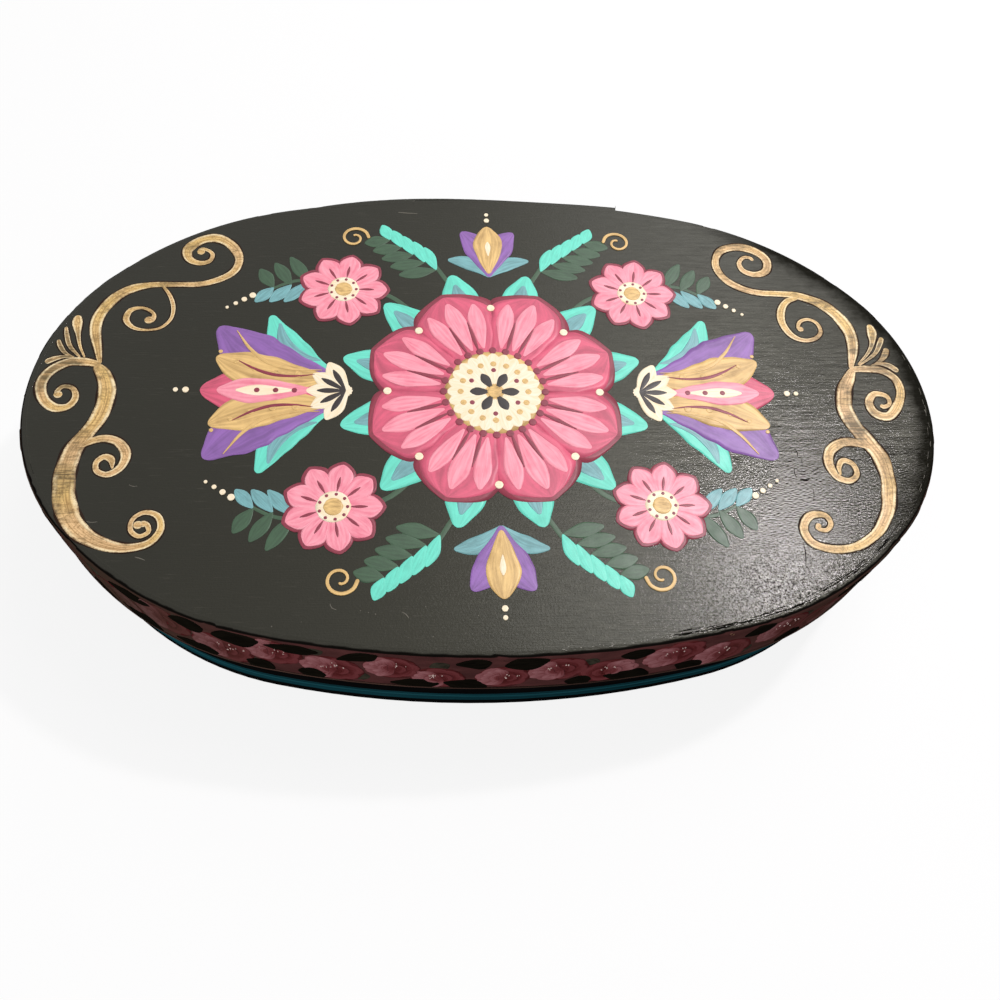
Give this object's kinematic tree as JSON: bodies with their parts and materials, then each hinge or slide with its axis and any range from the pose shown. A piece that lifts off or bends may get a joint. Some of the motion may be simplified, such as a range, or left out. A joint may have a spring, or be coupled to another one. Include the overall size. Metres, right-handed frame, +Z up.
{
  "type": "oval bentwood box",
  "caption": "Shallow oval box of bent, lapped wooden bands with pegged oval boards and a lift-off lid whose rim slides over the base; painted outside, bare wood inside.",
  "frame": {"origin": "under the middle of the box, on the surface it stands on", "axes": "+X along the box, +Y towards the lapped side at the back, +Z up"},
  "size_m": [0.4, 0.2405, 0.075],
  "materials": {
    "base_band": "painted satin black outside, bare pale wood inside",
    "bottom_board": "bare pale wood inside, painted underneath",
    "lid_band": "painted satin maroon outside, bare pale wood inside",
    "lid_board": "painted satin charcoal on top, bare pale wood underneath",
    "pegs": "cut flush and painted over",
    "tacks": "hammered flush and painted over"
  },
  "bodies": {
    "base": {"base_band": "base_band", "bottom_board": "bottom_board", "bottom_board_pegs": "pegs", "base_lap_tacks": "tacks"},
    "lid": {"lid_band": "lid_band", "lid_board": "lid_board", "lid_board_pegs": "pegs", "lid_lap_tacks": "tacks"}
  },
  "joints": [
    {"name": "lid_lift", "type": "slide", "parent": "base", "child": "lid", "axis": [0, 0, 1], "range_m": [0, 0.1]}
  ]
}
